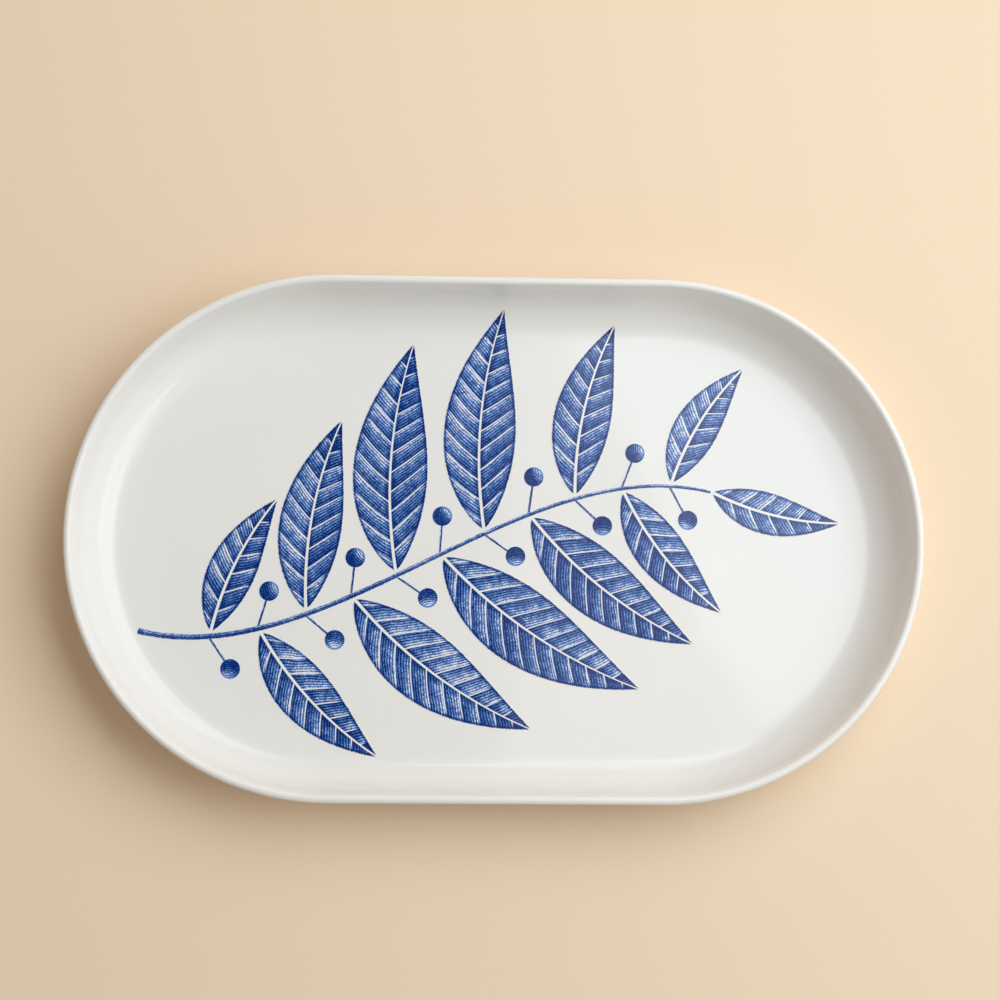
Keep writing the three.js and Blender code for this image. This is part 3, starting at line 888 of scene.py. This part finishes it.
count = add(stem, "GeometryNodeInputIndex").outputs[0]
distance = calc(stem, "MULTIPLY_ADD", count, stem_in["Berry spacing"], stem_in["First berry"])
spot = add(stem, "GeometryNodeSampleCurve", {"Curves": stem_line, "Length": distance}, mode="LENGTH")
tx, ty, _ = parts(stem, spot.outputs["Tangent"])
other_side = calc(stem, "MULTIPLY_ADD", calc(stem, "MODULO", count, 2.0), 2.0, -1.0)
heading = calc(stem, "MULTIPLY_ADD", other_side, stem_in["Berry angle"], calc(stem, "ARCTAN2", ty, tx))
places = add(stem, "GeometryNodePoints", {"Count": stem_in["Berries"], "Position": spot.outputs["Position"]})
rotation = add(stem, "FunctionNodeEulerToRotation", {0: vector(stem, 0.0, 0.0, heading)}).outputs[0]
inputs = {"Points": places.outputs[0], "Instance": fruit.outputs[0], "Rotation": rotation}
hung = add(stem, "GeometryNodeInstanceOnPoints", inputs).outputs[0]
print("tree:", stem.name, "has its stem, stalks and berries")

# %% Lay the stem on the glaze
spray = add(stem, "GeometryNodeJoinGeometry")
stem.links.new(stem_strip, spray.inputs[0])
stem.links.new(add(stem, "GeometryNodeRealizeInstances", {"Geometry": hung}).outputs[0], spray.inputs[0])
inputs = {"Geometry": lay_film(stem, spray.outputs[0], stem_in), "Material": stem_in["Stem material"]}
inked = add(stem, "GeometryNodeSetMaterial", inputs)
berry_mark = add(stem, "GeometryNodeInputNamedAttribute", {"Name": "berry_mm"}, data_type="FLOAT_VECTOR")
on_berry = calc(stem, "GREATER_THAN", parts(stem, berry_mark.outputs[0])[2], 0.5)
inputs = {"Geometry": inked.outputs[0], "Selection": on_berry, "Material": stem_in["Berry material"]}
feed(stem, stem_out.inputs["Stem"], add(stem, "GeometryNodeSetMaterial", inputs).outputs[0])

STALK_LENGTH = 12.5
STALK_WIDTH = 1.0
BERRY_RADIUS = 4.2
points = {"Start": stem_start, "Start bend": stem_bends[0], "End bend": stem_bends[1], "End": stem_end}
inputs = {label: (point.x * MM, point.y * MM, 0.0) for label, point in points.items()}
inputs.update(film_sizes)
inputs.update({
    "Width at foot": STEM_WIDTHS[0] * MM, "Width at tip": STEM_WIDTHS[1] * MM,
    "Berries": LEAF_COUNT, "First berry": FIRST_LEAF * MM, "Berry spacing": leaf_spacing * MM,
    "Berry angle": math.radians(LEAF_ANGLE), "Berry radius": BERRY_RADIUS * MM,
    "Stalk length": STALK_LENGTH * MM, "Stalk width": STALK_WIDTH * MM,
    "Stem material": stem_enamel, "Berry material": berry_enamel,
})
stem_piece = grow("stem", stem, inputs)
measure(stem_piece)

# %% [markdown]
# ## Floor and light
# The platter lies on a sheet of warm paper. One softbox hangs close by, up to the right: its light is a
# little cool and fades across the paper. A small panel straight above is seen in the glaze as a pale veil
# over the right half of the well. The walls of the room are warm, so the shadows that they fill are warm
# too. The wall behind glows near the floor, and the ceiling is dark, so the ink keeps its depth. Far off,
# the paper runs out into a plain backdrop of its own colour.

# %% Lay the paper
PAPER = srgb(239, 217, 189)
FIBRE_DARK = srgb(238, 216, 188)
FIBRE_PALE = srgb(240, 218, 190)
BLACK = (0.0, 0.0, 0.0, 1.0)
PAPER_HALF = 9
PAPER_RUNS_OUT = (0.26, 0.85)
paper_material, tree, shader, place = new_material("warm paper", PAPER)
fibre = add(tree, "ShaderNodeTexNoise", {"Vector": place, "Scale": 900.0, "Detail": 4.0}).outputs[0]
fibres = tint(tree, rise(tree, fibre, 0.3, 0.7), FIBRE_DARK, FIBRE_PALE)
distance = add(tree, "ShaderNodeVectorMath", {0: place}, operation="LENGTH").outputs["Value"]
far_off = rise(tree, distance, *PAPER_RUNS_OUT)
rays = add(tree, "ShaderNodeLightPath").outputs
seen = calc(tree, "MAXIMUM", rays["Is Camera Ray"], rays["Is Glossy Ray"])
feed(tree, shader.inputs["Base Color"], tint(tree, far_off, fibres, BLACK))
feed(tree, shader.inputs["Roughness"], 0.9)
feed(tree, shader.inputs["Emission Color"], PAPER)
feed(tree, shader.inputs["Emission Strength"], calc(tree, "MULTIPLY", far_off, seen))
paper_mesh = bpy.data.meshes.new("paper")
corners = [(x * PAPER_HALF, y * PAPER_HALF, 0) for x, y in ((-1, -1), (1, -1), (1, 1), (-1, 1))]
paper_mesh.from_pydata(corners, [], [(0, 1, 2, 3)])
paper_mesh.materials.append(paper_material)
paper = bpy.data.objects.new("paper", paper_mesh)
scene.collection.objects.link(paper)
print("the paper is laid")


# %% Hang the lights
def hang_light(name, place, aim, size, power, colour=(1, 1, 1)):
    """A soft light of a width and a height that faces a point."""
    light = bpy.data.lights.new(name, "AREA")
    light.shape = "RECTANGLE"
    light.size, light.size_y = size
    light.energy = power
    light.color = colour
    lamp = bpy.data.objects.new(name, light)
    lamp.location = place
    lamp.rotation_euler = (Vector(aim) - Vector(place)).to_track_quat("-Z", "Y").to_euler()
    scene.collection.objects.link(lamp)
    print("light:", name, "of", power, "W")


hang_light("softbox", (0.59, 0.29, 1.01), (0, 0, 0), (1.56, 0.92), 12.6, (0.91, 1.0, 1.075))
hang_light("ceiling panel", (0.30, 0.18, 1.10), (0.30, 0.18, 0), (0.5, 0.5), 1.2)

# %% Paint the room
world = bpy.data.worlds.new("room")
world.use_nodes = True
room = world.node_tree
towards = parts(room, add(room, "ShaderNodeTexCoord").outputs["Generated"])
above = calc(room, "MAXIMUM", towards[2], 0.0)
below = calc(room, "SUBTRACT", 1.0, above)
near_floor = calc(room, "MULTIPLY", below, below)
halfway_up = calc(room, "MULTIPLY", calc(room, "MULTIPLY", above, below), 4.0)
glow = (0.0, 0.0, 0.0)
for axis, sign, band, colour in (
    (0, 1.0, halfway_up, (1.33, 1.13, 0.95)),
    (0, -1.0, halfway_up, (0.94, 0.73, 0.58)),
    (1, 1.0, near_floor, (2.06, 1.62, 1.20)),
    (1, -1.0, halfway_up, (0.88, 0.87, 0.82)),
):
    facing = calc(room, "MAXIMUM", calc(room, "MULTIPLY", towards[axis], sign), 0.0)
    share = calc(room, "MULTIPLY", calc(room, "MULTIPLY", facing, facing), band)
    glow = vsum(room, glow, vscale(room, colour, share))
seen = add(room, "ShaderNodeLightPath").outputs["Is Camera Ray"]
background = room.nodes["Background"]
feed(room, background.inputs["Color"], tint(room, seen, glow, PAPER))
scene.world = world
print("the room is painted")

# %% [markdown]
# ## Fit the frame
# Every piece stands for a node of the imported model and rides on its one body.

# %% Hand the pieces over
stands_for = {
    "clay_body": ("porcelain_body", "porcelain"),
    "glaze_over": ("upper_glaze", "glaze"),
    "glaze_under": ("base_glaze", "glaze"),
}
for piece in [*leaves, stem_piece]:
    stands_for[piece.name] = ("print_" + piece.name, "enamel")
for piece in [*platter.values(), *leaves, stem_piece]:
    node, slot = stands_for[piece.name]
    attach(piece, "root")
    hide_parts(node)
